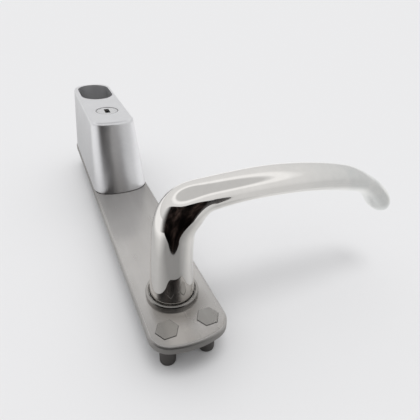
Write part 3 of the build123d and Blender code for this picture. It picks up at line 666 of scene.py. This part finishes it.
# Painted light to either side of the middle, seen only in reflections.
shade_middle = 0.03
paper_offset = add_math(paper_tree, "ADD", paper_parts["X"], shade_middle)
paper_aside = add_math(paper_tree, "ABSOLUTE", paper_offset)
paper_side_light = map_share(paper_tree, paper_aside, start=0.045, end=0.11, high=0.40)
paper_reflected = add_math(paper_tree, "ADD", paper_shade, paper_side_light)
paper_seen = add_node(paper_tree, "ShaderNodeLightPath").outputs["Is Camera Ray"]
set_shader(
    paper,
    Base_Color=mix_colours(paper_tree, paper_seen, paper_reflected, (0.82, 0.82, 0.83)),
    Roughness=0.9,
    Specular_IOR_Level=0.0,
)
floor.data.materials.append(paper)


# Dark screen
# A curved screen of dark cloth behind the camera, thinner towards its left end. It only shows in
# the metal: as the black patch on the bend, and softly in the housing's front and the plate.
def screen_arc(radius, middle, right_reach, left_reach, low, base, rise):
    """Part of a standing cylinder round the lever's axis: headings round it times levels up it.
    The top edge is a rounded hump over the middle heading: its height is the cube root of one
    less the cube of the share of the reach to that side."""
    columns, rows = 61, 9
    share = np.linspace(-1, 1, columns)
    turn = np.radians(middle + np.where(share < 0, right_reach, left_reach) * share)
    top = base + rise * np.cbrt(1 - np.abs(share) ** 3)
    grid = np.empty((rows, columns, 3))
    grid[..., 0] = radius * np.sin(turn)
    grid[..., 1] = radius * np.cos(turn)
    grid[..., 2] = low + np.outer(np.linspace(0, 1, rows), top - low)
    return grid


screen_grid = screen_arc(
    radius=170, middle=209, right_reach=58, left_reach=84, low=-140, base=-16, rise=208,
)
screen = grid_mesh("dark_screen", screen_grid)
screen.visible_camera = False
screen.visible_diffuse = False
screen.visible_shadow = False
cloth_black, cloth_tree = new_material("screen cloth")
spot_size, spot_contrast = 14.0, 3.0
cloth_clouds = add_node(cloth_tree, "ShaderNodeGroup", clouding, Size=spot_size).outputs["Mask"]
cloth_spots = add_math(cloth_tree, "POWER", cloth_clouds, spot_contrast)
cloth_parts = place_parts(cloth_tree)
slant = -0.27
cloth_slanted = add_math(cloth_tree, "MULTIPLY_ADD", cloth_parts["Z"], slant, cloth_parts["Y"])
cloth_thinning = map_share(cloth_tree, cloth_slanted, start=0.031, end=-0.063, interpolation="SMOOTHSTEP")
cloth_hem = map_share(cloth_tree, cloth_parts["X"], start=0.090, end=0.062, low=0.75)
set_shader(
    cloth_black,
    Base_Color=mix_colours(cloth_tree, cloth_spots, (0.004, 0.0035, 0.0035), (0.075, 0.052, 0.045)),
    Roughness=1.0,
    Specular_IOR_Level=0.0,
    Alpha=add_math(cloth_tree, "MULTIPLY", cloth_thinning, cloth_hem),
)
screen.data.materials.append(cloth_black)

# Light tent
# White cloth walls all round, which show in the polish with a brighter band under a greyer roof
# that leans to the far side. What isn't polished gets a soft light from overhead.
tent_bands = [
    (0.0, 0.68), (0.2, 0.74), (0.42, 0.78), (0.66, 0.80),
    (0.74, 1.0), (0.80, 1.0), (0.85, 0.60), (1.0, 0.60),
]
tent_top = (-0.03, 0.125, 0.990)
world = bpy.data.worlds.new("light tent")
bpy.context.scene.world = world
world.use_nodes = True
sky = world.node_tree
sky.nodes.clear()
direction = add_node(sky, "ShaderNodeTexCoord").outputs["Generated"]
tent_height = add_math(sky, "DOT_PRODUCT", direction, tent_top, kind="ShaderNodeVectorMath")
ray = add_node(sky, "ShaderNodeLightPath").outputs
overhead = map_share(sky, tent_height, start=0.0, end=1.0, low=0.2, high=1.1)
tent_glow = mix_colours(sky, ray["Is Glossy Ray"], overhead, add_ramp(sky, tent_height, tent_bands))
tent = add_node(sky, "ShaderNodeBackground", Color=tent_glow, Strength=1.0)
backdrop = add_node(sky, "ShaderNodeBackground", Color=(0.84, 0.84, 0.85), Strength=1.0)
tent_or_backdrop = add_node(sky, "ShaderNodeMixShader", Fac=ray["Is Camera Ray"])
feed(sky, tent_or_backdrop.inputs[1], tent.outputs["Background"])
feed(sky, tent_or_backdrop.inputs[2], backdrop.outputs["Background"])
add_node(sky, "ShaderNodeOutputWorld", Surface=tent_or_backdrop.outputs["Shader"])

# Overhead lamp
# A soft lamp high over the lever, leaning a little to the near side. It doesn't show in the metal.
# On the paper it gives the lever its faint shadow.
lamp = bpy.data.lights.new("overhead_lamp", "SUN")
lamp.angle = np.radians(24)
lamp.energy = 0.7
lamp_object = bpy.data.objects.new("overhead_lamp", lamp)
lamp_object.rotation_euler = (np.radians(7), 0, 0)
lamp_object.visible_glossy = False
bpy.context.scene.collection.objects.link(lamp_object)

# Camera
# It stands close in front of the near end and looks down along the plate, leaning a little.
camera_place = Vector((-40.8, -120.6, 135.2)) * mm
pitch, heading, lean = np.radians([33.61, 25.91, 2.96])
level_ahead = np.array([np.sin(heading), np.cos(heading), 0])
level_right = np.array([np.cos(heading), -np.sin(heading), 0])
up = np.array([0, 0, 1])
ahead = level_ahead * np.cos(pitch) - up * np.sin(pitch)
above = level_ahead * np.sin(pitch) + up * np.cos(pitch)
right = level_right * np.cos(lean) + above * np.sin(lean)
top = above * np.cos(lean) - level_right * np.sin(lean)
camera_turn = Matrix(np.array([right, top, -ahead]).T.tolist()).to_4x4()
focal_pixels = 373.9
image_pixels = 420
camera = bpy.data.cameras.new("camera")
camera.sensor_width = 36
camera.lens = camera.sensor_width * focal_pixels / image_pixels
camera.clip_start = 0.01
camera_object = bpy.data.objects.new("camera", camera)
camera_object.matrix_world = Matrix.Translation(camera_place) @ camera_turn
bpy.context.scene.collection.objects.link(camera_object)
bpy.context.scene.camera = camera_object
bpy.context.scene.view_settings.view_transform = "Standard"
